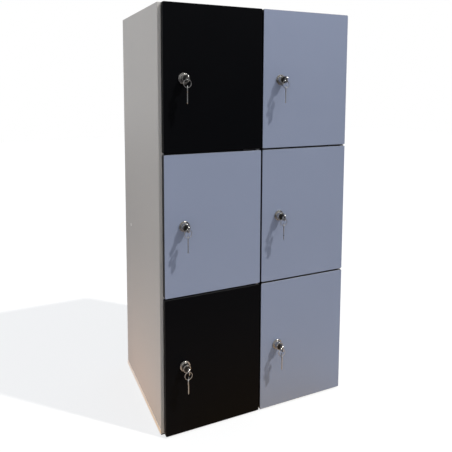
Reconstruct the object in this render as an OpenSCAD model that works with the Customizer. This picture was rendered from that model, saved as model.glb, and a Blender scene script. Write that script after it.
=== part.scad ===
// A locker box for small personal things: six hinged doors in two columns of three, each with
// its own cam lock, a key in the lock, and a spare key on the key's ring.
// The origin is on the floor under the middle of the casing. +Z is up and the doors face -Y.
// Doors are numbered 1 to 6 as they are read from the front: 1 is top left, 6 is bottom right.

/* [Casing] */
// Width over the two side panels
casing_w = 450; // [380:1:600]
// Depth of the side panels, front edge to back edge
casing_d = 300; // [220:1:450]
// Height from the floor to the top
casing_h = 900; // [750:1:1200]
// Thickness of the sides, top, bottom, divider and shelves
panel_t = 12; // [12:0.5:16]
// Thickness of the back panel
back_t = 6; // [4:0.5:10]
// Height of the runners that the casing stands on
runner_h = 3; // [2:0.5:10]
// Width of one runner
runner_w = 24; // [15:1:60]
// How far the runners lie in from the casing's outline
runner_inset = 1; // [0:0.5:10]
// Height of the metal strip round the foot of the casing
skirting_h = 9.5; // [6:0.5:30]
// Thickness of that strip
skirting_t = 0.8; // [0.5:0.1:2]
// Radius of the banding on the outer upright edges of the sides
side_edge_r = 1; // [0.5:0.1:3]

/* [Doors] */
// Door thickness
door_t = 12; // [10:0.5:13]
// Gap between neighbouring doors, both ways
door_gap = 3; // [2.8:0.1:4]
// Width of casing that shows to the left of the doors
left_reveal = 6.5; // [3:0.5:9]
// Width of casing that shows to the right of the doors
right_reveal = 2; // [0:0.5:4]
// Space between the doors' backs and the casing, which is also the buffers' thickness
door_standoff = 3; // [2.8:0.1:5]
// Corner radius of a door
door_corner_r = 3; // [1.5:0.5:6]
// Width of the bevel round a door's front
door_bevel = 0.8; // [0.3:0.1:1.2]
// Radius of a rubber buffer
buffer_r = 1.9; // [1:0.1:1.9]
// Distance from a door's left edge to its buffers
buffer_inset = 15; // [8:1:60]

/* [Hinges] */
// Sheet thickness of a pivot bracket
bracket_t = 2; // [1.5:0.1:2.2]
// Length of the bracket's screw flange
flange_len = 24; // [20:1:60]
// Radius of the bracket's eye
eye_r = 4; // [3:0.1:4.2]
// Width of the arm between eye and flange
arm_w = 5.2; // [4:0.1:5.5]
// Radius of a hinge pin
pin_r = 2; // [1.5:0.1:2.5]
// Outer radius of a hinge bush
bush_r = 3.5; // [3.2:0.1:4]
// Length of a hinge bush
bush_len = 12; // [8:0.5:20]
// Radial running clearance of pins and lock plugs
running = 0.05; // [0.02:0.01:0.1]

/* [Locks] */
// Distance from a door's left edge to its lock's axis
lock_inset = 42.5; // [38:0.5:60]
// Radius of the lock's flange
flange_r = 11.25; // [10:0.25:14]
// Thickness of the lock's flange
flange_t = 2.5; // [1.5:0.1:4]
// Radius of the collar that stands out of the flange
collar_r = 8.5; // [8:0.1:9.5]
// How far the collar stands out of the door
collar_proud = 14; // [8:0.5:20]
// Radius of the threaded barrel behind the flange
barrel_r = 9; // [8:0.1:11]
// Length of the threaded barrel
barrel_len = 22; // [20:0.5:26]
// Thickness of the nut on the barrel
lock_nut_t = 4; // [3:0.5:5]
// Radius of the turning plug
plug_r = 6; // [5.5:0.1:6.4]
// Radius of the plug's head
head_r = 7; // [6.6:0.1:7.4]
// Thickness of the plug's head
head_t = 1.5; // [1:0.1:3]
// Width over the flats of the plug's square tail
tail_w = 7; // [6:0.1:8]
// Length of the cam from the lock's axis
cam_len = 34; // [28:0.5:36]
// Width of the cam
cam_w = 14; // [12:0.5:18]
// Thickness of the cam
cam_t = 2.5; // [2:0.1:4]
// How far the turned cam reaches behind its strike plate
cam_catch = 9; // [5:0.5:12]
// Sheet thickness of a strike plate
strike_t = 2; // [1.5:0.1:2.5]
// Height of a strike plate
strike_h = 30; // [24:1:60]
// Length of the strike plate's foot along the wall
strike_foot = 24; // [18:1:40]

/* [Keys] */
// Thickness of a key
key_t = 1.8; // [1.5:0.1:2.2]
// Length of the key's bow
bow_len = 15; // [14:0.5:20]
// Width of the key's bow
bow_w = 15; // [13:0.5:20]
// Distance from the key's shoulder to the hole in its bow
hole_from_shoulder = 8.5; // [7:0.1:9]
// Radius of the hole in the bow
key_hole_r = 2.8; // [2.8:0.1:3.5]
// Length of the blade
blade_len = 21; // [16:0.5:24]
// Width of the blade
blade_w = 7.5; // [6:0.1:8]
// Radius of the ring, to the middle of its wire
ring_r = 8; // [8:0.5:12]
// Radius of the ring's wire
wire_r = 0.6; // [0.4:0.05:0.7]
// How far the spare keys have turned on their rings, in degrees
spare_turn = 24; // [0:1:30]

/* [Fixings] */
// Radius of a screw's shank
screw_r = 1.6; // [1.2:0.1:1.8]
// Radius of a screw's head
screw_head_r = 3; // [2.6:0.1:3.4]
// Length of a screw
screw_len = 10; // [8:0.5:11]
// Radius of a dowel
dowel_r = 3; // [2:0.1:4]
// Depth of a dowel in the panel that it crosses
dowel_in_side = 9; // [6:0.5:10]
// Depth of a dowel in the end of the panel that it holds
dowel_in_end = 13; // [8:0.5:20]
// Distance of the dowels from the middle of the depth
dowel_y = 90; // [40:1:95]
// Radius of the holes for fixing to a wall
wall_hole_r = 3.25; // [2:0.25:6]
// Distance between wall holes across
wall_hole_dx = 220; // [180:1:260]
// Distance between wall holes up
wall_hole_dz = 600; // [500:1:640]
// Radius of the cap in each side panel
cap_r = 4; // [3:0.25:8]
// How far behind the middle of the depth the caps lie
cap_y = 91; // [60:1:100]
// Height of the caps above the floor
cap_z = 395; // [340:1:440]

/* [Hidden] */
$fn = 64;
PANEL_COLOUR = [0.68, 0.65, 0.62];
BLUE_GREY = [0.50, 0.53, 0.61];
BLACK = [0.05, 0.05, 0.055];
NICKEL = [0.72, 0.70, 0.66];
ZINC = [0.62, 0.63, 0.64];
RUBBER = [0.08, 0.08, 0.08];
WOOD = [0.72, 0.56, 0.36];
WHITE = [0.92, 0.92, 0.90];

columns = 2;
rows = 3;
doors = columns * rows;
shelves = columns * (rows - 1);
black_doors = [0, 4];

// Clearances that several fits share
press = 0.02;
slack = 0.1;
hang_gap = 0.3;
free_gap = 0.5;
past = 1;

// The casing's own planes
half_w = casing_w / 2;
half_d = casing_d / 2;
inner_half_w = half_w - panel_t;
carcass_depth = casing_d - back_t;
base_z = runner_h;
carcass_h = casing_h - runner_h;
wall_hole_mid_z = base_z + carcass_h / 2;
cap_t = 1;
cap_stem_r = 2.5;
cap_stem_len = 8;

// The doors
door_w = (casing_w - left_reveal - right_reveal - door_gap) / columns;
door_h = (carcass_h - (rows - 1) * door_gap) / rows;
door_back_y = -half_d - door_standoff;
door_front_y = door_back_y - door_t;
function column(i) = i % columns;
function row(i) = floor(i / columns);
function door_x(i) = -half_w + left_reveal + column(i) * (door_w + door_gap);
function door_z(i) = base_z + (rows - 1 - row(i)) * (door_h + door_gap);

// Levels are counted from the floor: bottom panel, two shelves, top panel
levels = rows + 1;
top_level = levels - 1;
function gap_z(level) = base_z + level * (door_h + door_gap) - door_gap / 2;
function level_z(level) =
    level == 0 ? base_z + panel_t / 2
    : level == top_level ? casing_h - panel_t / 2
    : gap_z(level);

// The hinges: the pivot is at half the door's thickness, the same distance from its right edge
pivot_inset = door_t / 2;
pivot_y = door_back_y - door_t / 2;
function pivot_x(col) = -half_w + left_reveal + col * (door_w + door_gap) + door_w - pivot_inset;
bracket_cover = 0.3;
bush_sink = 0.5;
pin_short = 1;
recess_depth = bracket_cover + bracket_t + free_gap;
recess_r = eye_r + free_gap;
flange_from_pivot = pivot_inset;
function bracket_z(level) =
    level == 0 ? base_z + bracket_cover + bracket_t / 2
    : level == top_level ? casing_h - bracket_cover - bracket_t / 2
    : gap_z(level);
// The door of a column whose upper edge is at a level
function column_door(col, level) = (rows - level) * columns + col;
// How deep a bush lies under the lower or upper edge of door i
function sink_low(i) = row(i) == rows - 1 ? recess_depth : bush_sink;
function sink_high(i) = row(i) == 0 ? recess_depth : bush_sink;

// The locks
lock_tip_y = door_front_y - collar_proud;
plug_proud = 0.5;
plug_face_y = lock_tip_y - plug_proud;
barrel_end_y = door_front_y + barrel_len;
cam_y = barrel_end_y + slack;
lock_nut_wall = 4;
cam_nut_t = 3;
cam_nut_r = 5.5;
stud_r = 3;
edge_break = 0.6;
function lock_x(i) = door_x(i) + lock_inset;
function lock_z(i) = door_z(i) + door_h / 2;

// The strike plates: the wall that carries one, and the tip of its tongue
strike_y = cam_y - free_gap - strike_t;
function wall_x(i) = column(i) == 0 ? -inner_half_w : panel_t / 2;
function tongue_x(i) = lock_x(i) - cam_len + cam_catch;
strike_screw_z = 8;
strike_screw_y = strike_y + strike_t + (strike_foot - strike_t) / 2;

// The keys
bow_corner_r = 5;
tip_bevel = 2.2;
cut_depths = [1.1, 1.9, 0.8, 1.6];
cut_pitch = 3.6;
first_cut = 5;
cut_top = 2.6;
cut_floor = 0.8;
key_hole_y = plug_face_y - hole_from_shoulder;
hang_drop = key_hole_r - wire_r - hang_gap;
function ring_z(i) = lock_z(i) - hang_drop - ring_r;
function spare_hole_z(i) = ring_z(i) - ring_r - hang_drop;
// No two spare keys hang alike
turn_spread = [-5, 4, -4, 3, 2, 0];

// Screws
screw_head_h = 1.4;
flange_screws = [0.25, 0.75];

// Turns a shape that is drawn along +Z so that it runs along +Y from a point
module along_y(at) {
    translate(at) rotate([-90, 0, 0]) children();
}

// Turns a shape that is drawn along +Z so that it runs along -X from a point
module along_minus_x(at) {
    translate(at) rotate([0, -90, 0]) children();
}

// A rectangle with round corners, from the origin into +X and +Y
module rounded_rectangle(w, h, r) {
    translate([r, 0]) square([w - 2 * r, h]);
    translate([0, r]) square([w, h - 2 * r]);
    for (x = [r, w - r])
        for (y = [r, h - r])
            translate([x, y]) circle(r);
}

// ---------------------------------------------------------------- fixings

// One countersunk screw along +Z, with its head's face at z = 0
module screw(grow = 0) {
    cylinder(h = screw_head_h, r1 = screw_head_r + grow, r2 = screw_r + grow);
    cylinder(h = screw_len + grow, r = screw_r + grow);
}

// Two screws in each pivot bracket's flange, driven from the front
module bracket_screws(grow = 0) {
    for (col = [0:columns - 1])
        for (level = [0:top_level])
            for (share = flange_screws)
                along_y([pivot_x(col) - flange_from_pivot - share * flange_len,
                         -half_d - bracket_t, level_z(level)])
                    screw(grow);
}

// Two screws in each strike plate's foot, driven into the wall beside it
module strike_screws(grow = 0) {
    for (i = [0:doors - 1])
        for (side = [-1, 1])
            along_minus_x([wall_x(i) + strike_t, strike_screw_y, lock_z(i) + side * strike_screw_z])
                screw(grow);
}

// Screws through the back panel into every shelf and the divider
module back_screws(grow = 0) {
    for (level = [0:top_level])
        for (side = [-1, 1])
            translate([side * inner_half_w / 2, half_d, level_z(level)])
                rotate([90, 0, 0]) screw(grow);
    for (i = [0:columns:doors - 1])
        translate([0, half_d, lock_z(i)]) rotate([90, 0, 0]) screw(grow);
}

module all_screws(grow = 0) {
    bracket_screws(grow);
    strike_screws(grow);
    back_screws(grow);
}

// Dowels from the sides into the ends of all level panels, through the divider into the shelves,
// and from the top and bottom panels into the divider
module all_dowels(grow = 0) {
    for (y = [-dowel_y, dowel_y]) {
        for (level = [0:top_level])
            for (side = [-1, 1])
                translate([side * (inner_half_w + dowel_in_side + grow), y, level_z(level)])
                    rotate([0, -side * 90, 0])
                        cylinder(h = dowel_in_side + dowel_in_end + 2 * grow, r = dowel_r + grow);
        for (level = [1:top_level - 1])
            along_minus_x([panel_t / 2 + dowel_in_end + grow, y, level_z(level)])
                cylinder(h = panel_t + 2 * dowel_in_end + 2 * grow, r = dowel_r + grow);
        translate([0, y, base_z + panel_t - dowel_in_side - grow])
            cylinder(h = dowel_in_side + dowel_in_end + 2 * grow, r = dowel_r + grow);
        translate([0, y, casing_h - panel_t - dowel_in_end - grow])
            cylinder(h = dowel_in_side + dowel_in_end + 2 * grow, r = dowel_r + grow);
    }
}

module screws() {
    color(ZINC) all_screws();
}

module dowels() {
    color(WOOD) all_dowels();
}

// ---------------------------------------------------------------- casing

// Takes the holes for dowels and screws out of a panel
module drilled() {
    difference() {
        children();
        all_dowels(press);
        all_screws(press);
    }
}

// The plan of a side panel: the inner face on x = 0, the outer edges rounded
module side_plan() {
    square([panel_t - side_edge_r, casing_d]);
    translate([0, side_edge_r]) square([panel_t, casing_d - 2 * side_edge_r]);
    for (y = [side_edge_r, casing_d - side_edge_r])
        translate([panel_t - side_edge_r, y]) circle(side_edge_r);
}

// side is -1 for the left panel and +1 for the right one
module side_panel(side) {
    color(PANEL_COLOUR) drilled()
        difference() {
            rotate([0, 0, side > 0 ? 0 : 180]) translate([inner_half_w, -half_d, base_z])
                linear_extrude(carcass_h) side_plan();
            translate([side * (half_w + past), cap_y, cap_z])
                rotate([0, -side * 90, 0]) cylinder(h = panel_t + 2 * past, r = cap_stem_r + press);
        }
}

module left_side() {
    side_panel(-1);
}

module right_side() {
    side_panel(1);
}

// A level panel of the full inner width, with its lower face at z
module full_level(z) {
    color(PANEL_COLOUR) drilled()
        translate([-inner_half_w, -half_d, z]) cube([2 * inner_half_w, carcass_depth, panel_t]);
}

module top_panel() {
    full_level(casing_h - panel_t);
}

module bottom_panel() {
    full_level(base_z);
}

module centre_divider() {
    color(PANEL_COLOUR) drilled()
        translate([-panel_t / 2, -half_d, base_z + panel_t])
            cube([panel_t, carcass_depth, carcass_h - 2 * panel_t]);
}

// Shelves 1 and 2 are the upper pair, left and right; 3 and 4 are the lower pair
module shelf(s) {
    level = top_level - 1 - floor(s / columns);
    x = s % columns == 0 ? -inner_half_w : panel_t / 2;
    color(PANEL_COLOUR) drilled()
        translate([x, -half_d, level_z(level) - panel_t / 2])
            cube([inner_half_w - panel_t / 2, carcass_depth, panel_t]);
}

module back_panel() {
    color(PANEL_COLOUR) drilled()
        difference() {
            translate([-inner_half_w, half_d - back_t, base_z])
                cube([2 * inner_half_w, back_t, carcass_h]);
            for (x = [-1, 1])
                for (z = [-1, 1])
                    along_y([x * wall_hole_dx / 2, half_d - back_t - past,
                             wall_hole_mid_z + z * wall_hole_dz / 2])
                        cylinder(h = back_t + 2 * past, r = wall_hole_r);
        }
}

// One bent strip round the left, back and right of the casing's foot
module skirting() {
    color(ZINC) difference() {
        translate([-half_w - skirting_t, -half_d, base_z])
            cube([casing_w + 2 * skirting_t, casing_d + skirting_t, skirting_h]);
        translate([-half_w, -half_d - past, base_z - past])
            cube([casing_w, casing_d + past, skirting_h + 2 * past]);
    }
}

// Three runners: under each side and under the divider
module runners() {
    color(RUBBER)
        for (x = [-half_w + runner_inset, -runner_w / 2, half_w - runner_inset - runner_w])
            translate([x, -half_d + runner_inset, 0])
                cube([runner_w, casing_d - 2 * runner_inset, runner_h]);
}

// A cap on the outer face of each side, with its stem in the hole for joining two lockers
module hole_plugs() {
    color(WHITE)
        for (side = [-1, 1])
            translate([side * (half_w + cap_t), cap_y, cap_z]) rotate([0, -side * 90, 0]) {
                cylinder(h = cap_t, r = cap_r);
                cylinder(h = cap_t + cap_stem_len, r = cap_stem_r);
            }
}

// Two rubber dots behind each door, near its left edge, on the edges of the level panels
module door_buffers() {
    overlap = panel_t / 2 - door_gap / 2;
    color(RUBBER)
        for (i = [0:doors - 1])
            for (z = [door_z(i) + overlap / 2, door_z(i) + door_h - overlap / 2])
                along_y([door_x(i) + buffer_inset, door_back_y, z])
                    cylinder(h = door_standoff, r = buffer_r);
}

// An angle plate beside each lock: the foot is screwed to the wall, the tongue holds the cam
module strike_plates() {
    color(ZINC) difference() {
        for (i = [0:doors - 1]) {
            translate([wall_x(i), strike_y, lock_z(i) - strike_h / 2])
                cube([strike_t, strike_foot, strike_h]);
            translate([wall_x(i), strike_y, lock_z(i) - strike_h / 2])
                cube([tongue_x(i) - wall_x(i), strike_t, strike_h]);
        }
        strike_screws(press);
    }
}

// ---------------------------------------------------------------- hinges

// A flat eye and arm in the gap between two doors, a screw flange on the casing's front edge,
// and a pin that reaches into the door above, the door below, or both
module bracket(col, level) {
    x = pivot_x(col);
    plate_low = bracket_z(level) - bracket_t / 2;
    door_above = column_door(col, level + 1);
    door_below = column_door(col, level);
    translate([x, pivot_y, plate_low]) cylinder(h = bracket_t, r = eye_r);
    translate([x - arm_w / 2, pivot_y, plate_low])
        cube([arm_w, -half_d - pivot_y, bracket_t]);
    translate([x - flange_from_pivot - past, -half_d - bracket_t, plate_low])
        cube([flange_from_pivot + past, bracket_t, bracket_t]);
    translate([x - flange_from_pivot - flange_len, -half_d - bracket_t,
               level_z(level) - panel_t / 2])
        cube([flange_len, bracket_t, panel_t]);
    if (level < top_level) {
        pin_end = door_z(door_above) + sink_low(door_above) + bush_len - pin_short;
        translate([x, pivot_y, plate_low]) cylinder(h = pin_end - plate_low, r = pin_r);
    }
    if (level > 0) {
        pin_end = door_z(door_below) + door_h - sink_high(door_below) - bush_len + pin_short;
        translate([x, pivot_y, pin_end])
            cylinder(h = plate_low + bracket_t - pin_end, r = pin_r);
    }
}

module hinge_brackets() {
    color(ZINC) difference() {
        for (col = [0:columns - 1])
            for (level = [0:top_level])
                bracket(col, level);
        bracket_screws(press);
    }
}

// The two places of a door's bushes, as [lower end, length] above the door's own lower edge
function bush_lows(i) = [sink_low(i), door_h - sink_high(i) - bush_len];

module hinge_bushes(i) {
    color(BLACK)
        for (low = bush_lows(i))
            translate([pivot_x(column(i)), pivot_y, door_z(i) + low])
                difference() {
                    cylinder(h = bush_len, r = bush_r);
                    translate([0, 0, -past]) cylinder(h = bush_len + 2 * past, r = pin_r + running);
                }
}

// Room in a door's outer edge for the bracket's eye and arm, over the whole swing
module bracket_recess(i, z) {
    translate([pivot_x(column(i)), pivot_y, z]) {
        cylinder(h = recess_depth + past, r = recess_r);
        translate([-recess_r, 0, 0])
            cube([recess_r + pivot_inset + past, door_t / 2 + past, recess_depth + past]);
        translate([0, -recess_r, 0])
            cube([pivot_inset + past, recess_r + past, recess_depth + past]);
    }
}

// ---------------------------------------------------------------- doors

// The section of a door across its width or height, back edge on y = 0, front edges bevelled
module door_section(across) {
    polygon([
        [0, 0],
        [across, 0],
        [across, door_t - door_bevel],
        [across - door_bevel, door_t],
        [door_bevel, door_t],
        [0, door_t - door_bevel]
    ]);
}

// A door's slab lying on its back, from the origin into +X and +Y: two crossed bars and the
// four round corners between them
module door_slab() {
    r = door_corner_r;
    straight = door_t - door_bevel;
    translate([r, 0, 0])
        rotate([90, 0, 90]) linear_extrude(door_w - 2 * r) door_section(door_h);
    translate([0, door_h - r, 0])
        rotate([90, 0, 0]) linear_extrude(door_h - 2 * r) door_section(door_w);
    for (x = [r, door_w - r])
        for (y = [r, door_h - r])
            translate([x, y, 0]) {
                cylinder(h = straight, r = r);
                translate([0, 0, straight]) cylinder(h = door_bevel, r1 = r, r2 = r - door_bevel);
            }
}

module door(i) {
    color(len(search(i, black_doors)) > 0 ? BLACK : BLUE_GREY) difference() {
        translate([door_x(i), door_back_y, door_z(i)]) rotate([90, 0, 0]) door_slab();
        translate([pivot_x(column(i)), pivot_y, door_z(i) - past])
            cylinder(h = sink_low(i) + bush_len + past, r = bush_r + press);
        translate([pivot_x(column(i)), pivot_y, door_z(i) + door_h - sink_high(i) - bush_len])
            cylinder(h = sink_high(i) + bush_len + past, r = bush_r + press);
        if (row(i) == 0)
            bracket_recess(i, door_z(i) + door_h - recess_depth);
        if (row(i) == rows - 1)
            bracket_recess(i, door_z(i) - past);
        along_y([lock_x(i), door_front_y - past, lock_z(i)])
            cylinder(h = door_t + 2 * past, r = barrel_r + slack);
    }
}

// ---------------------------------------------------------------- locks

// The lock's outside: collar, flange and threaded barrel in one turned piece, bored for the plug
module lock_housing() {
    bore = plug_r + running;
    head_bore = head_r + running;
    flange_front = collar_proud - flange_t;
    rotate_extrude() polygon([
        [head_bore, 0],
        [collar_r - edge_break, 0],
        [collar_r, edge_break],
        [collar_r, flange_front],
        [flange_r - edge_break, flange_front],
        [flange_r, flange_front + edge_break],
        [flange_r, collar_proud],
        [barrel_r, collar_proud],
        [barrel_r, collar_proud + barrel_len],
        [bore, collar_proud + barrel_len],
        [bore, head_t + slack],
        [head_bore, head_t + slack]
    ]);
}

module lock_nut() {
    difference() {
        cylinder(h = lock_nut_t, r = barrel_r + lock_nut_wall, $fn = 6);
        translate([0, 0, -past]) cylinder(h = lock_nut_t + 2 * past, r = barrel_r + press);
    }
}

module lock_body(i) {
    color(NICKEL) {
        along_y([lock_x(i), lock_tip_y, lock_z(i)]) lock_housing();
        along_y([lock_x(i), door_back_y, lock_z(i)]) lock_nut();
    }
}

// The plug along +Z from its face, with the keyway, a square tail for the cam and a stud for its nut
module plug() {
    body_end = cam_y - plug_face_y;
    stud_end = body_end + cam_t + cam_nut_t + 2 * press;
    slot_t = key_t + 2 * slack;
    slot_h = blade_w + 2 * slack;
    difference() {
        rotate_extrude() polygon([
            [0, 0],
            [head_r - plug_proud, 0],
            [head_r, plug_proud],
            [head_r, plug_proud + head_t],
            [plug_r, plug_proud + head_t],
            [plug_r, body_end],
            [0, body_end]
        ]);
        translate([-slot_t / 2, -slot_h / 2, -past])
            cube([slot_t, slot_h, past + blade_len + free_gap]);
    }
    translate([-tail_w / 2, -tail_w / 2, body_end - past]) cube([tail_w, tail_w, past + cam_t]);
    translate([0, 0, body_end]) cylinder(h = stud_end - body_end, r = stud_r);
}

// The cam hangs down from the lock's axis when the lock is open
module cam() {
    hole_w = tail_w + 2 * press;
    difference() {
        union() {
            cylinder(h = cam_t, r = cam_w / 2);
            translate([-cam_w / 2, 0, 0]) cube([cam_w, cam_len - cam_w / 2, cam_t]);
            translate([0, cam_len - cam_w / 2, 0]) cylinder(h = cam_t, r = cam_w / 2);
        }
        translate([-hole_w / 2, -hole_w / 2, -past]) cube([hole_w, hole_w, cam_t + 2 * past]);
    }
}

module cam_nut() {
    difference() {
        cylinder(h = cam_nut_t, r = cam_nut_r, $fn = 6);
        translate([0, 0, -past]) cylinder(h = cam_nut_t + 2 * past, r = stud_r + press);
    }
}

module lock_plug(i) {
    color(BLACK) along_y([lock_x(i), plug_face_y, lock_z(i)]) plug();
    color(ZINC) along_y([lock_x(i), cam_y + press, lock_z(i)]) cam();
    color(ZINC) along_y([lock_x(i), cam_y + cam_t + 2 * press, lock_z(i)]) cam_nut();
}

// ---------------------------------------------------------------- keys

// One notch in the blade's edge, opening outwards
module key_cut(depth) {
    polygon([[-cut_top / 2, 0], [-cut_floor / 2, -depth], [cut_floor / 2, -depth], [cut_top / 2, 0]]);
}

// The key's outline: shoulder at the origin, blade along +X, bow along -X
module key_outline() {
    difference() {
        union() {
            translate([-bow_len, -bow_w / 2]) rounded_rectangle(bow_len, bow_w, bow_corner_r);
            polygon([
                [-past, -blade_w / 2],
                [blade_len - tip_bevel, -blade_w / 2],
                [blade_len, -blade_w / 2 + tip_bevel],
                [blade_len, blade_w / 2 - tip_bevel],
                [blade_len - tip_bevel, blade_w / 2],
                [-past, blade_w / 2]
            ]);
        }
        translate([-hole_from_shoulder, 0]) circle(key_hole_r);
        for (c = [0:len(cut_depths) - 1])
            translate([first_cut + c * cut_pitch, blade_w / 2]) key_cut(cut_depths[c]);
    }
}

module flat_key() {
    linear_extrude(key_t, center = true) key_outline();
}

// The key in its lock stands upright, blade into the plug
module key(i) {
    color(NICKEL) translate([lock_x(i), plug_face_y, lock_z(i)]) rotate([90, 0, 90]) flat_key();
}

module key_ring(i) {
    color(NICKEL) along_y([lock_x(i), key_hole_y, ring_z(i)])
        rotate_extrude() translate([ring_r, 0]) circle(wire_r, $fn = 24);
}

// The spare key hangs from the ring by the hole in its bow, blade down
module spare_key(i) {
    color(NICKEL) translate([lock_x(i), key_hole_y, spare_hole_z(i) - hole_from_shoulder])
        rotate([0, 90, -spare_turn - turn_spread[i]]) flat_key();
}

// ---------------------------------------------------------------- assembly

left_side();
right_side();
top_panel();
bottom_panel();
back_panel();
centre_divider();
skirting();
runners();
hinge_brackets();
door_buffers();
strike_plates();
hole_plugs();
screws();
dowels();
for (s = [1:shelves])
    shelf(s - 1);
for (d = [1:doors]) {
    door(d - 1);
    hinge_bushes(d - 1);
    lock_body(d - 1);
    lock_plug(d - 1);
    key(d - 1);
    key_ring(d - 1);
    spare_key(d - 1);
}
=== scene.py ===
import math

import bmesh
import bpy
import numpy as np
from mathutils import Matrix, Vector


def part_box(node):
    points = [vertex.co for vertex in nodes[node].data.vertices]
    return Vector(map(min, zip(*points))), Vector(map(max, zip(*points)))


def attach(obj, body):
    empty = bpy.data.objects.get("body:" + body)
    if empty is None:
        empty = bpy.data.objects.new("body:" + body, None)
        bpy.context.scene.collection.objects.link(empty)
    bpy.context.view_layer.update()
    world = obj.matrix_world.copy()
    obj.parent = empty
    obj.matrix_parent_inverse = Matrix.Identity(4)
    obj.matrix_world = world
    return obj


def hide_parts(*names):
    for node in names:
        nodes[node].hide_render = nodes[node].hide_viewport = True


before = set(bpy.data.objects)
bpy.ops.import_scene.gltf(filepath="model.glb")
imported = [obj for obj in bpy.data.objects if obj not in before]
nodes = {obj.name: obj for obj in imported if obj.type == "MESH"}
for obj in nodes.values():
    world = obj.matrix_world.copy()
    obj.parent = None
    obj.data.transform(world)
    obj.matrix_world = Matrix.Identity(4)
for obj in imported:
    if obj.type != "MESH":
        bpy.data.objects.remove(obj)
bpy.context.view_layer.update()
scene = bpy.context.scene
MM = 0.001

# ---- The camera stands to the left of the box and a little below its top, so that the front and
# the left side show. Its lens is shifted down, which brings the upright edges near to parallel.
camera_place = Vector((-506.6, -1106.4, 734.2)) * MM
camera_turn = math.radians(24.600)
camera_dip = math.radians(5.518)
camera_roll = math.radians(0.235)
lens_mm = 39.572
shift_across = -0.0072
shift_up = -0.200
sensor_mm = 36.0
clip_near, clip_far = 0.01, 100.0

look = Vector((math.sin(camera_turn) * math.cos(camera_dip),
               math.cos(camera_turn) * math.cos(camera_dip),
               -math.sin(camera_dip)))
level_right = Vector((math.cos(camera_turn), -math.sin(camera_turn), 0.0))
level_up = level_right.cross(look)
right = level_right * math.cos(camera_roll) + level_up * math.sin(camera_roll)
up = level_up * math.cos(camera_roll) - level_right * math.sin(camera_roll)
camera_data = bpy.data.cameras.new("camera")
camera_data.lens = lens_mm
camera_data.sensor_width = sensor_mm
camera_data.shift_x = shift_across
camera_data.shift_y = shift_up
camera_data.clip_start = clip_near
camera_data.clip_end = clip_far
camera = bpy.data.objects.new("camera", camera_data)
camera.matrix_world = Matrix.Translation(camera_place) @ Matrix((
    (right.x, up.x, -look.x),
    (right.y, up.y, -look.y),
    (right.z, up.z, -look.z))).to_4x4()
scene.collection.objects.link(camera)
scene.camera = camera
scene.view_settings.view_transform = "Standard"

# ---- Studio: a pale floor that keeps the box's shadow, in a room that is white to the camera. A
# small lamp high on the right throws the keys' shadows, and a weak soft one lifts the doors' upper
# edges. Mirrors see a room that is dim in front and light above, on the left and behind.
floor_half = 6.0
floor_colour = (0.60, 0.54, 0.48, 1.0)
floor_colour_close = (0.72, 0.50, 0.22, 1.0)
floor_seen = (0.90, 0.90, 0.90, 1.0)
floor_mirrored = (0.80, 0.665, 0.575, 1.0)
floor_mirrored_close = (0.80, 0.50, 0.20, 1.0)
floor_mirrored_far = (0.12, 0.12, 0.13, 1.0)
floor_near, floor_far = 0.35, 1.30
doors_foot = (0.0, -0.15, 0.0)
close_in, close_out = 0.10, 0.34
warm_patch = (-0.36, 0.0, 0.0)
warm_patch_in, warm_patch_out = 0.08, 0.27
warm_patch_colour = (1.0, 0.56, 0.33, 1.0)
warm_patch_light = 1.05
floor_glow = 0.75
room_light = 0.66
room_colour = (0.90, 0.98, 1.10, 1.0)
shine_front = 0.10
# Each further share of the shine: a direction's axis, where it starts, where it is full, how much.
shine_shares = (("Z", 0.15, 0.80, 0.90), ("X", -0.10, -0.80, 0.65), ("Y", 0.10, 0.90, 0.60))
lamp_from = Vector((0.43, -0.42, 0.80))
lamp_strength = 2.75
lamp_colour = (1.0, 0.97, 0.91)
lamp_softness = math.radians(1.2)
upper_lamp_place = Vector((0.10, -0.42, 1.16))
upper_lamp_power = 1.4
upper_lamp_r = 0.10
# A Mix node's sockets for colours go by number, because their names stand for other kinds too.
first_colour, other_colour, mixed_colour = 6, 7, 2


def new_material(name):
    """A node material with only its Principled shader; returns material, tree and shader."""
    material = bpy.data.materials.new(name)
    material.use_nodes = True
    tree = material.node_tree
    tree.nodes.clear()
    output = tree.nodes.new("ShaderNodeOutputMaterial")
    shader = tree.nodes.new("ShaderNodeBsdfPrincipled")
    tree.links.new(shader.outputs["BSDF"], output.inputs["Surface"])
    return material, tree, shader


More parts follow.
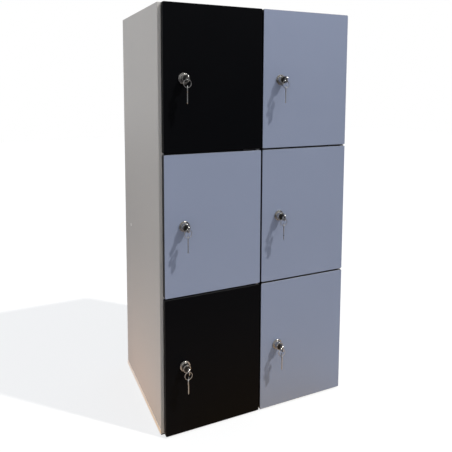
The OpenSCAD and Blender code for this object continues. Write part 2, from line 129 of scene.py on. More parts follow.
def build_floor():
    """A flat square on z = 0. The camera sees it white with the shadow on it. To other rays it is
    warmer close to the doors, and mirrors see it dim far off. Beside the left panel a warm patch
    gives light of its own, which only matt surfaces get."""
    mesh = bpy.data.meshes.new("studio_floor")
    s = floor_half
    mesh.from_pydata([(-s, -s, 0), (s, -s, 0), (s, s, 0), (-s, s, 0)], [], [(0, 1, 2, 3)])
    floor = bpy.data.objects.new("studio_floor", mesh)
    scene.collection.objects.link(floor)
    material, tree, shader = new_material("studio_floor")
    shader.inputs["Roughness"].default_value = 1.0
    shader.inputs["Specular IOR Level"].default_value = 0.0
    shader.inputs["Emission Color"].default_value = warm_patch_colour
    white = tree.nodes.new("ShaderNodeBsdfDiffuse")
    white.inputs["Color"].default_value = floor_seen
    glow = tree.nodes.new("ShaderNodeEmission")
    seen = tree.nodes.new("ShaderNodeMixShader")
    seen.inputs[0].default_value = floor_glow
    dim = tree.nodes.new("ShaderNodeEmission")
    place = tree.nodes.new("ShaderNodeTexCoord")
    link = tree.links.new

    def away_from(point, start, end, near, far):
        """Goes from one value to another as the distance from a point goes start to end."""
        reach = tree.nodes.new("ShaderNodeVectorMath")
        reach.operation = "DISTANCE"
        reach.inputs[1].default_value = point
        ramp = tree.nodes.new("ShaderNodeMapRange")
        ramp.interpolation_type = "SMOOTHSTEP"
        for label, value in zip(("From Min", "From Max", "To Min", "To Max"),
                                (start, end, near, far)):
            ramp.inputs[label].default_value = value
        link(place.outputs["Object"], reach.inputs[0])
        link(reach.outputs["Value"], ramp.inputs["Value"])
        return ramp.outputs["Result"]

    def blended(share, colour, other):
        """A node whose colour goes over to another one by a share."""
        mix = tree.nodes.new("ShaderNodeMix")
        mix.data_type = "RGBA"
        mix.inputs[first_colour].default_value = colour
        mix.inputs[other_colour].default_value = other
        link(share, mix.inputs[0])
        return mix

    close = away_from(doors_foot, close_in, close_out, 1.0, 0.0)
    matt = blended(close, floor_colour, floor_colour_close)
    mirrored = blended(close, floor_mirrored, floor_mirrored_close)
    fade = blended(away_from((0.0, 0.0, 0.0), floor_near, floor_far, 0.0, 1.0),
                   floor_mirrored, floor_mirrored_far)
    link(matt.outputs[mixed_colour], shader.inputs["Base Color"])
    link(mirrored.outputs[mixed_colour], fade.inputs[first_colour])
    rays = tree.nodes.new("ShaderNodeLightPath")
    with_dim = tree.nodes.new("ShaderNodeMixShader")
    with_seen = tree.nodes.new("ShaderNodeMixShader")
    link(away_from(warm_patch, warm_patch_in, warm_patch_out, warm_patch_light, 0.0),
         shader.inputs["Emission Strength"])
    link(fade.outputs[mixed_colour], dim.inputs["Color"])
    link(white.outputs[0], seen.inputs[1])
    link(glow.outputs[0], seen.inputs[2])
    link(rays.outputs["Is Glossy Ray"], with_dim.inputs[0])
    link(shader.outputs["BSDF"], with_dim.inputs[1])
    link(dim.outputs[0], with_dim.inputs[2])
    link(rays.outputs["Is Camera Ray"], with_seen.inputs[0])
    link(with_dim.outputs[0], with_seen.inputs[1])
    link(seen.outputs[0], with_seen.inputs[2])
    output = next(n for n in tree.nodes if n.type == "OUTPUT_MATERIAL")
    link(with_seen.outputs[0], output.inputs["Surface"])
    mesh.materials.append(material)


def build_room():
    """White to the camera, plain light to diffuse rays, and to glossy rays a room whose light
    is the front's value plus shares that grow overhead, to the left and behind the box."""
    world = bpy.data.worlds.new("studio_room")
    scene.world = world
    world.use_nodes = True
    tree = world.node_tree
    tree.nodes.clear()
    output = tree.nodes.new("ShaderNodeOutputWorld")
    place = tree.nodes.new("ShaderNodeTexCoord")
    split = tree.nodes.new("ShaderNodeSeparateXYZ")
    link = tree.links.new
    link(place.outputs["Generated"], split.inputs[0])

    def share(axis, start, end, amount):
        """Grows from 0 to an amount as a direction's part along one axis goes start to end."""
        ramp = tree.nodes.new("ShaderNodeMapRange")
        ramp.interpolation_type = "SMOOTHSTEP"
        ramp.inputs["From Min"].default_value = start
        ramp.inputs["From Max"].default_value = end
        ramp.inputs["To Max"].default_value = amount
        link(split.outputs[axis], ramp.inputs["Value"])
        return ramp.outputs["Result"]

    shine_level = None
    for axis, start, end, amount in shine_shares:
        total = tree.nodes.new("ShaderNodeMath")
        total.operation = "ADD"
        total.inputs[0].default_value = shine_front
        if shine_level:
            link(shine_level, total.inputs[0])
        link(share(axis, start, end, amount), total.inputs[1])
        shine_level = total.outputs[0]
    rays = tree.nodes.new("ShaderNodeLightPath")
    plain = tree.nodes.new("ShaderNodeBackground")
    plain.inputs["Color"].default_value = room_colour
    plain.inputs["Strength"].default_value = room_light
    shine = tree.nodes.new("ShaderNodeBackground")
    shine.inputs["Color"].default_value = (1.0, 1.0, 1.0, 1.0)
    link(shine_level, shine.inputs["Strength"])
    white = tree.nodes.new("ShaderNodeBackground")
    white.inputs["Color"].default_value = (1.0, 1.0, 1.0, 1.0)
    with_shine = tree.nodes.new("ShaderNodeMixShader")
    with_white = tree.nodes.new("ShaderNodeMixShader")
    link(rays.outputs["Is Glossy Ray"], with_shine.inputs[0])
    link(plain.outputs[0], with_shine.inputs[1])
    link(shine.outputs[0], with_shine.inputs[2])
    link(rays.outputs["Is Camera Ray"], with_white.inputs[0])
    link(with_shine.outputs[0], with_white.inputs[1])
    link(white.outputs[0], with_white.inputs[2])
    link(with_white.outputs[0], output.inputs["Surface"])


build_floor()
build_room()
lamp_data = bpy.data.lights.new("lamp", "SUN")
lamp_data.energy = lamp_strength
lamp_data.angle = lamp_softness
lamp_data.color = lamp_colour
lamp = bpy.data.objects.new("lamp", lamp_data)
lamp.rotation_mode = "QUATERNION"
lamp.rotation_quaternion = lamp_from.to_track_quat("Z", "Y")
scene.collection.objects.link(lamp)
upper_data = bpy.data.lights.new("upper_lamp", "POINT")
upper_data.energy = upper_lamp_power
upper_data.shadow_soft_size = upper_lamp_r
upper_lamp = bpy.data.objects.new("upper_lamp", upper_data)
upper_lamp.location = upper_lamp_place
upper_lamp.visible_camera = False
upper_lamp.visible_glossy = False
scene.collection.objects.link(upper_lamp)

# ---- Casing: ten panels of melamine-faced board, light warm grey and satin, with a fine pressed
# grain. They meet face to face on dowels, and the sides run the full height. A thin banding is
# glued on the front edges, close to the faces in colour on the sides. On the other panels the
# front edges are painted black as painted shade, which darkens the gaps between the doors.
casing_colour = (0.490, 0.474, 0.452, 1.0)
side_banding = (0.500, 0.485, 0.460, 1.0)
gap_shade_banding = (0.020, 0.020, 0.022, 1.0)
casing_shine = 0.4
banding_depth = 1.0 * MM
grain_detail = 3.0
relief_height = 0.1 * MM


def grain_group():
    """Surface grain: small noise stretched per axis gives the relief, and wide soft noise makes
    the colour and the roughness drift by a small share of themselves."""
    group = bpy.data.node_groups.new("surface_grain", "ShaderNodeTree")
    sockets = [("Colour", "NodeSocketColor"), ("Roughness", "NodeSocketFloat"),
               ("Grain size", "NodeSocketFloat"), ("Grain depth", "NodeSocketFloat"),
               ("Stretch", "NodeSocketVector"), ("Drift size", "NodeSocketFloat"),
               ("Colour drift", "NodeSocketFloat"), ("Roughness drift", "NodeSocketFloat")]
    for label, kind in sockets:
        group.interface.new_socket(label, in_out="INPUT", socket_type=kind)
    for label, kind in (sockets[0], sockets[1], ("Normal", "NodeSocketVector")):
        group.interface.new_socket(label, in_out="OUTPUT", socket_type=kind)
    new, link = group.nodes.new, group.links.new
    inside, outside = new("NodeGroupInput"), new("NodeGroupOutput")
    place, stretch = new("ShaderNodeTexCoord"), new("ShaderNodeVectorMath")
    stretch.operation = "MULTIPLY"
    grain, drift = new("ShaderNodeTexNoise"), new("ShaderNodeTexNoise")
    grain.inputs["Detail"].default_value = grain_detail
    drift.inputs["Detail"].default_value = grain_detail
    relief = new("ShaderNodeBump")
    relief.inputs["Distance"].default_value = relief_height
    link(place.outputs["Object"], stretch.inputs[0])
    link(inside.outputs["Stretch"], stretch.inputs[1])
    link(stretch.outputs[0], grain.inputs["Vector"])
    link(place.outputs["Object"], drift.inputs["Vector"])
    link(inside.outputs["Grain size"], grain.inputs["Scale"])
    link(inside.outputs["Drift size"], drift.inputs["Scale"])
    link(inside.outputs["Grain depth"], relief.inputs["Strength"])
    link(grain.outputs["Fac"], relief.inputs["Height"])
    link(relief.outputs["Normal"], outside.inputs["Normal"])

    def level(noise, amount):
        """One plus an amount of the noise's distance from its middle, 0.5."""
        centred, part, total = (new("ShaderNodeMath") for _ in range(3))
        centred.operation, part.operation, total.operation = "SUBTRACT", "MULTIPLY", "ADD"
        centred.inputs[1].default_value = 0.5
        total.inputs[1].default_value = 1.0
        link(noise, centred.inputs[0])
        link(centred.outputs[0], part.inputs[0])
        link(inside.outputs[amount], part.inputs[1])
        link(part.outputs[0], total.inputs[0])
        return total.outputs[0]

    colour, rough = new("ShaderNodeVectorMath"), new("ShaderNodeMath")
    colour.operation, rough.operation = "SCALE", "MULTIPLY"
    link(inside.outputs["Colour"], colour.inputs[0])
    link(level(drift.outputs["Fac"], "Colour drift"), colour.inputs["Scale"])
    link(inside.outputs["Roughness"], rough.inputs[0])
    link(level(drift.outputs["Fac"], "Roughness drift"), rough.inputs[1])
    link(colour.outputs[0], outside.inputs["Colour"])
    link(rough.outputs[0], outside.inputs["Roughness"])
    return group


surface_grain = grain_group()


def grained(name, colour, roughness, grain, depth, drift, colour_drift, roughness_drift,
            stretch=(1.0, 1.0, 1.0), metal=False):
    """A material with the surface grain on it; returns material, tree, shader and the grain node.
    Grain and drift are noise scales, depth is a share of the relief's full height, and the other
    two drifts are shares of the colour and the roughness."""
    material, tree, shader = new_material(name)
    node = tree.nodes.new("ShaderNodeGroup")
    node.node_tree = surface_grain
    values = (colour, roughness, grain, depth, stretch, drift, colour_drift, roughness_drift)
    for socket, value in zip(node.inputs, values):
        socket.default_value = value
    shader.inputs["Metallic"].default_value = 1.0 if metal else 0.0
    tree.links.new(node.outputs["Colour"], shader.inputs["Base Color"])
    tree.links.new(node.outputs["Roughness"], shader.inputs["Roughness"])
    tree.links.new(node.outputs["Normal"], shader.inputs["Normal"])
    return material, tree, shader, node


def zone(tree, axis, low, high):
    """A mask that is 1 where a point's place along one axis lies between two planes."""
    place = tree.nodes.new("ShaderNodeTexCoord")
    split = tree.nodes.new("ShaderNodeSeparateXYZ")
    mask = tree.nodes.new("ShaderNodeMath")
    mask.operation = "COMPARE"
    mask.inputs[1].default_value = (low + high) / 2
    mask.inputs[2].default_value = (high - low) / 2
    tree.links.new(place.outputs["Object"], split.inputs[0])
    tree.links.new(split.outputs[axis], mask.inputs[0])
    return mask.outputs[0]


def second_colour(tree, shader, grain, mask, colour):
    """Lays a second colour over the grained one where a mask is 1."""
    mix = tree.nodes.new("ShaderNodeMix")
    mix.data_type = "RGBA"
    mix.inputs[other_colour].default_value = colour
    tree.links.new(mask, mix.inputs[0])
    tree.links.new(grain.outputs["Colour"], mix.inputs[first_colour])
    tree.links.new(mix.outputs[mixed_colour], shader.inputs["Base Color"])


def paint(node_name, material):
    """Gives a CAD node one material in all its slots."""
    mesh = nodes[node_name].data
    if not mesh.materials:
        mesh.materials.append(material)
    for i in range(len(mesh.materials)):
        mesh.materials[i] = material


casing_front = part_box("left_side")[0].y
# The inner panels' black front edges are painted shade for the gaps between the doors.
casing_boards = (
    ("casing_laminate", side_banding, ("left_side", "right_side")),
    ("casing_inner_gap_shade", gap_shade_banding, ("top_panel", "bottom_panel", "back_panel", "centre_divider",
                                     "shelf_1", "shelf_2", "shelf_3", "shelf_4")))
for name, banding, panels in casing_boards:
    laminate, tree, shader, grain = grained(
        name, casing_colour, roughness=0.48, grain=1400.0, depth=0.32, drift=8.0,
        colour_drift=0.05, roughness_drift=0.25)
    second_colour(tree, shader, grain,
                  zone(tree, "Y", casing_front - banding_depth, casing_front + banding_depth),
                  banding)
    shader.inputs["Specular IOR Level"].default_value = casing_shine
    for panel in panels:
        paint(panel, laminate)

# ---- Foot: a thin bent strip of brushed aluminium round the left, back and right of the casing,
# and three rubber runners under it, which are pressed on and hold it off the floor.
aluminium = (0.93, 0.90, 0.87, 1.0)
brushed_along = (0.02, 0.02, 1.0)
rubber_black = (0.020, 0.020, 0.021, 1.0)
rubber_shine = 0.25
skirting_aluminium = grained(
    "skirting_aluminium", aluminium, roughness=0.42, grain=2500.0, depth=0.25, drift=12.0,
    colour_drift=0.08, roughness_drift=0.3, stretch=brushed_along, metal=True)[0]
paint("skirting", skirting_aluminium)
rubber, tree, shader, grain = grained(
    "rubber", rubber_black, roughness=0.8, grain=900.0, depth=0.5, drift=40.0,
    colour_drift=0.3, roughness_drift=0.2)
shader.inputs["Specular IOR Level"].default_value = rubber_shine
paint("runners", rubber)

# ---- Caps in the side panels: white moulded discs with a low dome, pushed into the holes that
# are there for joining two lockers. A stem under each one holds it by friction.
cap_r = 4.0
cap_t = 1.0
cap_edge = 0.35
cap_stem_r = 2.5
cap_stem_len = 8.0
cap_tip_len = 1.0
cap_tip_taper = 0.5
cap_ease = 0.12
cap_white = (0.80, 0.79, 0.76, 1.0)
corner_kept = math.radians(34.0)


def eased(corners, ease, loop=True, steps=4):
    """An outline with softened corners: each gives way to a parabola between the points that
    lie `ease` before and after it, p = (1-t)^2 a + 2t(1-t) corner + t^2 b."""
    corners = np.asarray(corners, float)
    ease = np.broadcast_to(np.asarray(ease, float), len(corners))[:, None]
    before = np.roll(corners, 1, axis=0) - corners
    after = np.roll(corners, -1, axis=0) - corners
    a = (corners + before * ease / np.linalg.norm(before, axis=1, keepdims=True))[:, None]
    b = (corners + after * ease / np.linalg.norm(after, axis=1, keepdims=True))[:, None]
    t = np.linspace(0.0, 1.0, steps + 1)[None, :, None]
    curve = (1 - t) ** 2 * a + 2 * t * (1 - t) * corners[:, None] + t ** 2 * b
    if loop:
        return curve.reshape(-1, 2)
    return np.concatenate([corners[:1], curve[1:-1].reshape(-1, 2), corners[-1:]])


def turned(radius, depth, angle):
    """Rows of a radius and a depth carried round the +Y axis: each goes to
    (radius cos a, depth, radius sin a); the radius may change with the angle a."""
    radius, depth = np.broadcast_arrays(radius, depth[:, None] + 0 * angle)
    return np.stack([radius * np.cos(angle), depth, radius * np.sin(angle)], axis=-1)


def full_turn(steps):
    """Equal angles round a circle, from 0 and without the last, which is the first again."""
    return np.arange(steps) * (2 * math.pi / steps)


def shell(points, loop=False):
    """Points and faces of a grid whose columns run round. A loop joins its last row to its
    first; otherwise one flat face closes each end."""
    rows, columns = points.shape[:2]
    i = np.arange(rows if loop else rows - 1)[:, None]
    j = np.arange(columns)[None, :]
    k, n = (i + 1) % rows, (j + 1) % columns
    quads = np.stack([i * columns + j, i * columns + n, k * columns + n, k * columns + j], -1)
    faces = quads.reshape(-1, 4).tolist()
    if not loop:
        faces += [list(range(columns)), list(range((rows - 1) * columns, rows * columns))]
    return points.reshape(-1, 3), faces


def make_piece(name, shells, material, body, slot, *stands_for):
    """One piece from shells in millimetres, faces outwards and smooth with its corners kept; it
    rides on a body and stands for CAD nodes."""
    points, faces, count = [], [], 0
    for shell_points, shell_faces in shells:
        points.append(shell_points)
        faces += [[count + i for i in face] for face in shell_faces]
        count += len(shell_points)
    mesh = bpy.data.meshes.new(name)
    mesh.from_pydata((np.concatenate(points) * MM).tolist(), [], faces)
    work = bmesh.new()
    work.from_mesh(mesh)
    bmesh.ops.recalc_face_normals(work, faces=work.faces)
    work.to_mesh(mesh)
    work.free()
    mesh.shade_smooth()
    mesh.set_sharp_from_angle(angle=corner_kept)
    mesh.materials.append(material)
    piece = bpy.data.objects.new(name, mesh)
    scene.collection.objects.link(piece)
    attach(piece, body)
    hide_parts(*stands_for)


def side_caps():
    """Both caps: a dome whose height falls with the square of the radius, a round edge, and a
    slightly tapered stem. The left one's axis is +X, and the right one mirrors it."""
    share = np.linspace(0.08, 0.9, 7)
    dome = np.stack([cap_r * share, (cap_t - cap_edge) * share ** 2], axis=1)
    rim = eased([dome[-1], [cap_r, cap_t - cap_edge], [cap_r, cap_t], [cap_stem_r, cap_t],
                 [cap_stem_r, cap_t + cap_stem_len - cap_tip_len],
                 [cap_stem_r - cap_tip_taper, cap_t + cap_stem_len]], cap_ease, loop=False)
    outline = np.concatenate([dome[:-1], rim])
    cap = turned(outline[:, :1], outline[:, 1], full_turn(48))
    low, high = (np.array(corner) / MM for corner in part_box("hole_plugs"))
    middle = (low + high) / 2
    left = np.stack([low[0] + cap[..., 1], middle[1] + cap[..., 0], middle[2] + cap[..., 2]], -1)
    right_cap = left * [-1.0, 1.0, 1.0]
    return [shell(left), shell(right_cap)]


white_cap = grained(
    "white_cap", cap_white, roughness=0.38, grain=900.0, depth=0.1, drift=120.0,
    colour_drift=0.05, roughness_drift=0.3)[0]
make_piece("side_caps", side_caps(), white_cap, "casing", "white_cap", "hole_plugs")

# ---- Doors: solid compact laminate, 12 mm, with a satin coloured face front and back and a
# black core, which shows at the sawn and bevelled edges. Doors 1 and 5 are black all through.
blue_grey = (0.200, 0.232, 0.322, 1.0)
black = (0.0018, 0.0020, 0.0028, 1.0)
core_black = (0.010, 0.010, 0.011, 1.0)
black_doors = (1, 5)
front_face_depth = 0.35 * MM
back_face_depth = 0.1 * MM
front_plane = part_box("door_1")[0].y
back_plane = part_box("door_1")[1].y


def door_material(name, colour, shine):
    """The face colour on both faces and their broken edges; core black between them."""
    material, tree, shader, grain = grained(
        name, colour, roughness=0.46, grain=1400.0, depth=0.3, drift=7.0,
        colour_drift=0.05, roughness_drift=0.25)
    core = zone(tree, "Y", front_plane + front_face_depth, back_plane - back_face_depth)
    second_colour(tree, shader, grain, core, core_black)
    shader.inputs["Specular IOR Level"].default_value = shine
    return material


door_blue_grey = door_material("door_blue_grey", blue_grey, shine=0.30)
door_black = door_material("door_black", black, shine=0.05)
for door in range(1, 7):
    paint(f"door_{door}", door_black if door in black_doors else door_blue_grey)

# ---- Door buffers: soft rubber dots stuck to the edges of the level panels, two behind each
# door near its free edge. The door's back rests on their rounded tops.
buffer_r = 1.9
buffer_t = 3.0
buffer_inset = 15.0
buffer_from_edge = 2.25
buffer_dome_h = 0.9
buffer_dome_fullness = 0.98


def door_buffers():
    """A low dome on a short drum for each buffer, carried round a +Y axis. On the dome the depth
    is height x (1 - sqrt(1 - fullness x share^2)), with the share of the full radius."""
    share = np.linspace(0.1, 1.0, 6)
    outline = np.concatenate([
        np.stack([buffer_r * share,
                  buffer_dome_h * (1 - np.sqrt(1 - buffer_dome_fullness * share ** 2))], axis=1),
        [[buffer_r, buffer_t]]])
    dot = turned(outline[:, :1], outline[:, 1], full_turn(24))
    dots = []
    for door in range(1, 7):
        low, high = (np.array(corner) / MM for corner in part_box(f"door_{door}"))
        for z in (low[2] + buffer_from_edge, high[2] - buffer_from_edge):
            dots.append(shell(dot + [low[0] + buffer_inset, high[1], z]))
    return dots


make_piece("buffer_dots", door_buffers(), rubber, "casing", "rubber", "door_buffers")

# ---- Pivot hinges and strike plates: pressed and turned steel, zinc plated, screwed to the
# casing. The pins turn in black nylon bushes that are pressed into the doors' edges.
zinc_plating = (0.47, 0.48, 0.50, 1.0)
nylon_black = (0.020, 0.020, 0.020, 1.0)
zinc_steel = grained(
    "zinc_steel", zinc_plating, roughness=0.36, grain=1100.0, depth=0.25, drift=70.0,
    colour_drift=0.25, roughness_drift=0.5, metal=True)[0]
for name in ("hinge_brackets", "strike_plates"):
    paint(name, zinc_steel)
bush_nylon = grained(
    "bush_nylon", nylon_black, roughness=0.5, grain=900.0, depth=0.15, drift=60.0,
    colour_drift=0.2, roughness_drift=0.3)[0]
for door in range(1, 7):
    paint(f"hinge_bushes_{door}", bush_nylon)

# ---- Screws: countersunk wood screws, zinc plated, with a cross recess. They hold the hinge
# brackets from the front, the strike plates from the side and the back panel from behind.
screw_len = 10.0
head_r = 3.0
head_h = 1.4
shank_r = 1.6
recess_long = 1.75
recess_short = 0.55
recess_depth = 1.1
recess_ease = 0.06
# Inner rows of the recess: share of its outline, share of its depth. Then its lip, a share again.
recess_rows = ((0.25, 1.0), (0.72, 0.85))
recess_lip = 1.06
rim_ease, rim_drop = 0.25, 0.12
rim_taper, rim_h = 0.1, 0.3
point_len, point_r = 2.0, 0.2
# From a door's hinged edge to its bracket's two screws.
bracket_screw_x = (-18.0, -30.0)
strike_screw_z = 8.0
strike_t = 2.0
inner_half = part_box("top_panel")[1].x / MM
divider_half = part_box("centre_divider")[1].x / MM
strike_low, strike_high = (np.array(corner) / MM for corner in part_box("strike_plates"))
strike_screw_y = (strike_low[1] + strike_t + strike_high[1]) / 2


def one_screw():
    """A screw along +Y with its head's face at 0. The recess's outline is a four-leaved curve,
    radius = short + (long - short) cos(2a)^6; outside it the rows are plain circles."""
    angle = full_turn(48)
    leaf = recess_short + (recess_long - recess_short) * np.cos(2 * angle) ** 6
    recess = [(share * leaf, recess_depth * depth) for share, depth in recess_rows]
    recess += [(leaf, recess_ease), (recess_lip * leaf, 0.0)]
    head = [(head_r - rim_ease, 0.0), (head_r, rim_drop), (head_r - rim_taper, rim_h)]
    shank = [(shank_r, head_h), (shank_r, screw_len - point_len), (point_r, screw_len)]
    rows = recess + head + shank
    radius = np.stack([row[0] + 0 * angle for row in rows])
    return turned(radius, np.array([row[1] for row in rows]), angle)


def all_screws():
    """The screw set at every place: turned to look out of the front, the side or the back."""
    screw = one_screw()
    from_front = screw
    from_side = np.stack([-screw[..., 1], screw[..., 0], screw[..., 2]], axis=-1)
    from_back = screw * [1.0, -1.0, 1.0]
    low, high = (np.array(corner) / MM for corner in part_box("screws"))
    panels = [np.array(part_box(name)).mean(axis=0)[2] / MM
              for name in ("bottom_panel", "shelf_3", "shelf_1", "top_panel")]
    placed = []
    for column in (1, 2):
        edge = np.array(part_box(f"door_{column}")[1])[0] / MM
        for z in panels:
            placed += [from_front + [edge + x, low[1], z] for x in bracket_screw_x]
    for door in range(1, 7):
        lock = np.array(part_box(f"lock_body_{door}")).mean(axis=0) / MM
        wall = -inner_half + strike_t if door % 2 else divider_half + strike_t
        placed += [from_side + [wall, strike_screw_y, lock[2] + side * strike_screw_z]
                   for side in (-1, 1)]
        if door % 2:
            placed.append(from_back + [0.0, high[1], lock[2]])
    for z in panels:
        placed += [from_back + [side * inner_half / 2, high[1], z] for side in (-1, 1)]
    return [shell(points) for points in placed]


make_piece("cross_screws", all_screws(), zinc_steel, "casing", "zinc_steel", "screws")

# ---- Dowels: beech pins glued into drilled holes where the panels meet. They keep the boards in
# line, and only show if a panel is off.
beech = (0.50, 0.33, 0.17, 1.0)
fibres_along = (0.15, 1.0, 1.0)
dowel_wood = grained(
    "dowel_wood", beech, roughness=0.7, grain=900.0, depth=0.4, drift=90.0,
    colour_drift=0.35, roughness_drift=0.2, stretch=fibres_along)[0]
paint("dowels", dowel_wood)

# ---- Lock housings: turned brass, nickel plated. A collar stands out of a flange in front of
# the door, and a threaded barrel goes through it to a hexagon nut behind. The plug's bore runs
# through the middle.
collar_r = 8.5
collar_len = 11.5
flange_r = 11.25
flange_t = 2.5
barrel_r = 9.0
barrel_len = 22.0
bore_r = 6.05
head_bore_r = 7.05
head_bore_depth = 1.6
thread_start = 30.0
thread_pitch = 1.5
thread_depth = 0.55
thread_rows = 25
thread_stop = 0.3
barrel_chamfer = 0.6
nut_start = 26.0
nut_t = 4.0
nut_corner_r = 13.0
nut_face_r = 11.6
nut_cone = 1.7
nut_chamfer_reach = 1.0
nut_play = 0.02
nickel_on_lock = (0.47, 0.46, 0.445, 1.0)


def housing(angle):
    """The housing's closed profile, carried round. On the free end of the barrel the radius
    falls by the thread: depth x |2 frac(y / pitch - a / full turn) - 1|."""
    back = collar_len + flange_t + barrel_len
    # Each corner of the front: its radius, its depth and how far it is eased.
    corners = np.array([
        (bore_r, head_bore_depth, 0.05), (head_bore_r, head_bore_depth, 0.05),
        (head_bore_r, 0.0, 0.12), (collar_r, 0.0, 0.6),
        (collar_r, collar_len, 0.25), (flange_r, collar_len, 0.7),
        (flange_r, collar_len + flange_t, 0.15), (barrel_r, collar_len + flange_t, 0.05)])
    front = eased(corners[:, :2], corners[:, 2])
    thread = np.stack([np.full(thread_rows, barrel_r),
                       np.linspace(thread_start, back - thread_stop, thread_rows)], axis=1)
    end = [[barrel_r - barrel_chamfer, back], [bore_r, back]]
    outline = np.concatenate([front, thread, end])
    radius = outline[:, :1] + 0 * angle
    turn = outline[:, 1:] / thread_pitch - angle / (2 * math.pi)
    tooth = np.abs(2 * (turn - np.floor(turn)) - 1)
    threaded = slice(len(front), len(front) + len(thread))
    radius[threaded] -= thread_depth * tooth[threaded]
    return turned(radius, outline[:, 1], angle)


def hexagon_nut(angle):
    """A hexagon whose radius is flat / cos(angle from the flat's middle), cut at both faces by a
    cone: radius <= face radius + the cone's slope x depth from the face."""
    flat = nut_corner_r * math.cos(math.pi / 6)
    from_flat = (angle % (math.pi / 3)) - math.pi / 6
    hexagon = flat / np.cos(from_flat)
    depth = np.concatenate([np.linspace(0.0, nut_chamfer_reach, 5),
                            np.linspace(nut_t - nut_chamfer_reach, nut_t, 5)])
    cone = nut_face_r + nut_cone * np.minimum(depth, nut_t - depth)[:, None]
    radius = np.minimum(hexagon, cone)
    bore = np.full((2, len(angle)), barrel_r + nut_play)
    depths = np.concatenate([depth, [nut_t, 0.0]])
    return turned(np.concatenate([radius, bore]), depths, angle) + [0.0, nut_start, 0.0]


lock_nickel = grained(
    "lock_nickel", nickel_on_lock, roughness=0.27, grain=1300.0, depth=0.08, drift=90.0,
    colour_drift=0.12, roughness_drift=0.4, metal=True)[0]
around = full_turn(96)
for door in range(1, 7):
    low, high = (np.array(corner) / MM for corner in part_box(f"lock_body_{door}"))
    tip = np.array([(low[0] + high[0]) / 2, low[1], (low[2] + high[2]) / 2])
    make_piece(f"lock_housing_{door}",
               [shell(housing(around) + tip, loop=True),
                shell(hexagon_nut(around) + tip, loop=True)],
               lock_nickel, f"door_{door}", "lock_nickel", f"lock_body_{door}")

# ---- Lock plugs: the turning core with its keyway, and zinc behind the face, where the cam is
# nutted to its square tail. Its face is painted black: painted shade and a painted dark
# reflection.
# The keyway is as wide as the key is thick.
plug_face_painted_shade = (0.010, 0.0095, 0.009, 1.0)
plug_zinc = (0.36, 0.36, 0.37, 1.0)
painted_shade_depth = 2.2 * MM
plug_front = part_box("lock_plug_1")[0].y
lock_plug, tree, shader, grain = grained(
    "lock_plug", plug_zinc, roughness=0.38, grain=1100.0, depth=0.15, drift=80.0,
    colour_drift=0.2, roughness_drift=0.4)
# The black on the plug's face is painted shade and a painted dark reflection, laid over the zinc.
painted_shade_zone = zone(tree, "Y", plug_front - painted_shade_depth, plug_front + painted_shade_depth)
second_colour(tree, shader, grain, painted_shade_zone, plug_face_painted_shade)
metal = tree.nodes.new("ShaderNodeMath")
metal.operation = "SUBTRACT"
metal.inputs[0].default_value = 1.0
tree.links.new(painted_shade_zone, metal.inputs[1])
tree.links.new(metal.outputs[0], shader.inputs["Metallic"])
for door in range(1, 7):
    paint(f"lock_plug_{door}", lock_plug)

# ---- Keys: stamped and milled from nickel-plated brass sheet. The bow has a pressed field with
# a raised border and a hole for the ring; the blade has a milled groove in each face and four
# cuts. One stands in each lock, and its spare hangs from the ring.
bow_len = 15.0
bow_w = 15.0
bow_corner_r = 5.0
hole_from_shoulder = 8.5
hole_r = 2.8
half_t = 0.9
field_half_t = 0.68
hole_ease = 0.15
edge_ease = 0.2
blade_half_t = 0.82
blade_bevel = 0.2
groove_half_t = 0.42
# The four corners of the groove across the blade: upwards on one face, downwards on the other.
groove_up = (-1.1, -0.8, 0.2, 0.5)
groove_down = (1.0, 0.7, -0.4, -0.7)
blade_root = -0.9
blade_len = 21.0
blade_half_w = 3.75
tip_bevel = 2.2
cut_depths = np.array([1.1, 1.9, 0.8, 1.6])
cut_centres = 5.0 + 3.6 * np.arange(4)
cut_half_top = 1.3
cut_half_floor = 0.4
# How far each spare key hangs turned, in degrees, from door 1 to door 6.
spare_turns = (19.0, 28.0, 20.0, 27.0, 26.0, 24.0)
nickel_on_key = (0.49, 0.49, 0.49, 1.0)


def key_bow(steps=14):
    """A flat ring between the hole's circle and the bow's outline. The outline is a rounded
    square, corner centre + r (cos a, sin a), and each section runs from the hole to it over the
    low field and the border. Rows run round the section, and columns round the bow."""
    a = (np.arange(4 * steps) + 0.5) * (math.pi / (2 * steps))
    ray = np.stack([np.cos(a), np.sin(a)], axis=1)
    reach = np.array([bow_len, bow_w]) / 2 - bow_corner_r
    outer = [-bow_len / 2, 0.0] + np.sign(ray) * reach + bow_corner_r * ray
    hole = np.array([-hole_from_shoulder, 0.0])
    towards = outer - hole
    inner = hole + hole_r * towards / np.linalg.norm(towards, axis=1, keepdims=True)
    # From the hole to the edge: the share of the way, and half the thickness there.
    share, height = np.array([
        (0.0, 0.0), (0.0, field_half_t - hole_ease), (0.04, field_half_t), (0.58, field_half_t),
        (0.68, half_t), (0.95, half_t), (1.0, half_t - edge_ease), (1.0, 0.0)]).T
    share = np.concatenate([share, share[-2:0:-1]])[:, None, None]
    height = np.concatenate([height, -height[-2:0:-1]])[:, None]
    flat = inner * (1 - share) + outer * share
    return np.concatenate([flat, np.broadcast_to(height, flat.shape[:2])[..., None]], axis=-1)


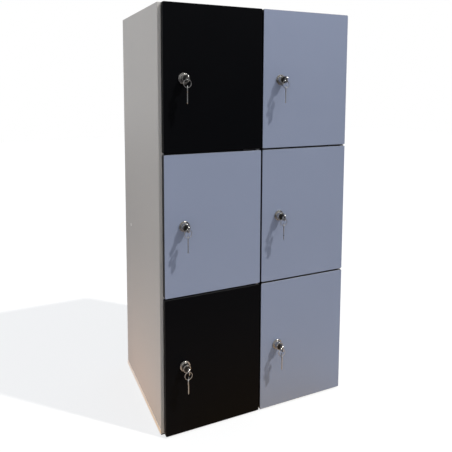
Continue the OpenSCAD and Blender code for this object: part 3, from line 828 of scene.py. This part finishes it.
def key_blade():
    """A grooved section carried along the blade. At each cut the upper edge falls by
    depth x clip((half top - distance) / (half top - half floor), 0, 1), and both edges close in
    by the tip's bevel."""
    corners = (cut_centres[:, None] + np.array([-cut_half_top, -cut_half_floor,
                                                cut_half_floor, cut_half_top])).ravel()
    u = np.unique(np.concatenate([[blade_root, blade_len - tip_bevel, blade_len], corners]))
    away = np.abs(u[:, None] - cut_centres)
    fall = np.clip((cut_half_top - away) / (cut_half_top - cut_half_floor), 0, 1) * cut_depths
    bevel = np.maximum(u - (blade_len - tip_bevel), 0)
    top = blade_half_w - np.maximum(fall.max(axis=1), bevel)
    foot = -blade_half_w + bevel
    t, g, c = blade_half_t, groove_half_t, blade_bevel
    across = [foot, foot + c, *groove_up, top - c, top,
              top, top - c, *groove_down, foot + c, foot]
    thick = [c - t, -t, -t, -g, -g, -t, -t, c - t,
             t - c, t, t, g, g, t, t, t - c]
    v = np.stack([value + 0 * u for value in across], axis=1)
    w = np.broadcast_to(thick, v.shape)
    return np.stack([np.broadcast_to(u[:, None], v.shape), v, w], axis=-1)


def upright(key):
    """Turns a flat key (along, across, thick) to stand in its lock, blade towards +Y."""
    return key[..., [2, 0, 1]]


def hanging(key, turn):
    """Turns a flat key to hang blade down, and then by an angle about the upright line through
    its hole: (w cos t + v sin t, v cos t - w sin t, -u)."""
    u, v, w = np.moveaxis(key, -1, 0)
    c, s = math.cos(math.radians(turn)), math.sin(math.radians(turn))
    return np.stack([w * c + v * s, v * c - w * s, -u], axis=-1)


key_nickel = grained(
    "key_nickel", nickel_on_key, roughness=0.30, grain=1300.0, depth=0.12, drift=110.0,
    colour_drift=0.15, roughness_drift=0.5, metal=True)[0]
bow, blade = key_bow(), key_blade()
for door in range(1, 7):
    low, high = (np.array(corner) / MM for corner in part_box(f"key_{door}"))
    shoulder = np.array([(low[0] + high[0]) / 2, low[1] + bow_len, (low[2] + high[2]) / 2])
    make_piece(f"cut_key_{door}",
               [shell(upright(bow) + shoulder, loop=True), shell(upright(blade) + shoulder)],
               key_nickel, f"key_{door}", "key_nickel", f"key_{door}")
    low, high = (np.array(corner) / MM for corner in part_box(f"key_ring_{door}"))
    top = np.array(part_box(f"spare_key_{door}")[1])[2] / MM
    shoulder = np.array([(low[0] + high[0]) / 2, (low[1] + high[1]) / 2, top - bow_len])
    turn = spare_turns[door - 1]
    make_piece(f"cut_spare_{door}",
               [shell(hanging(bow, turn) + shoulder, loop=True),
                shell(hanging(blade, turn) + shoulder)],
               key_nickel, f"spare_key_{door}", "key_nickel", f"spare_key_{door}")

# ---- Key rings: split rings of flattened spring steel, two turns side by side. Each one hangs
# in the bow of the key in the lock, and the spare key hangs on it.
ring_r = 8.0
ring_half_wide = 0.58
ring_half_thick = 0.28
turn_apart = 0.31
ring_rows = 145
ring_end = 0.03
crossing_start, crossing_length = 1.86 * math.pi, 0.28 * math.pi
spring_steel = (0.47, 0.465, 0.465, 1.0)


def split_ring():
    """A flattened section carried twice round. Its place along the axis is
    -apart + 2 apart smoothstep((a - start) / length), so one turn slides beside the other."""
    a = np.linspace(ring_end, 4 * math.pi - ring_end, ring_rows)[:, None]
    step = np.clip((a - crossing_start) / crossing_length, 0, 1)
    along = -turn_apart + 2 * turn_apart * step ** 2 * (3 - 2 * step)
    s = full_turn(12)
    radius = ring_r + ring_half_wide * np.cos(s)
    axial = along + ring_half_thick * np.sin(s)
    return np.stack([radius * np.cos(a), axial + 0 * a, radius * np.sin(a)], axis=-1)


ring_steel = grained(
    "ring_steel", spring_steel, roughness=0.3, grain=1300.0, depth=0.1, drift=110.0,
    colour_drift=0.15, roughness_drift=0.4, metal=True)[0]
for door in range(1, 7):
    low, high = (np.array(corner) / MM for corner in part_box(f"key_ring_{door}"))
    make_piece(f"split_ring_{door}", [shell(split_ring() + (low + high) / 2)],
               ring_steel, f"key_ring_{door}", "ring_steel", f"key_ring_{door}")
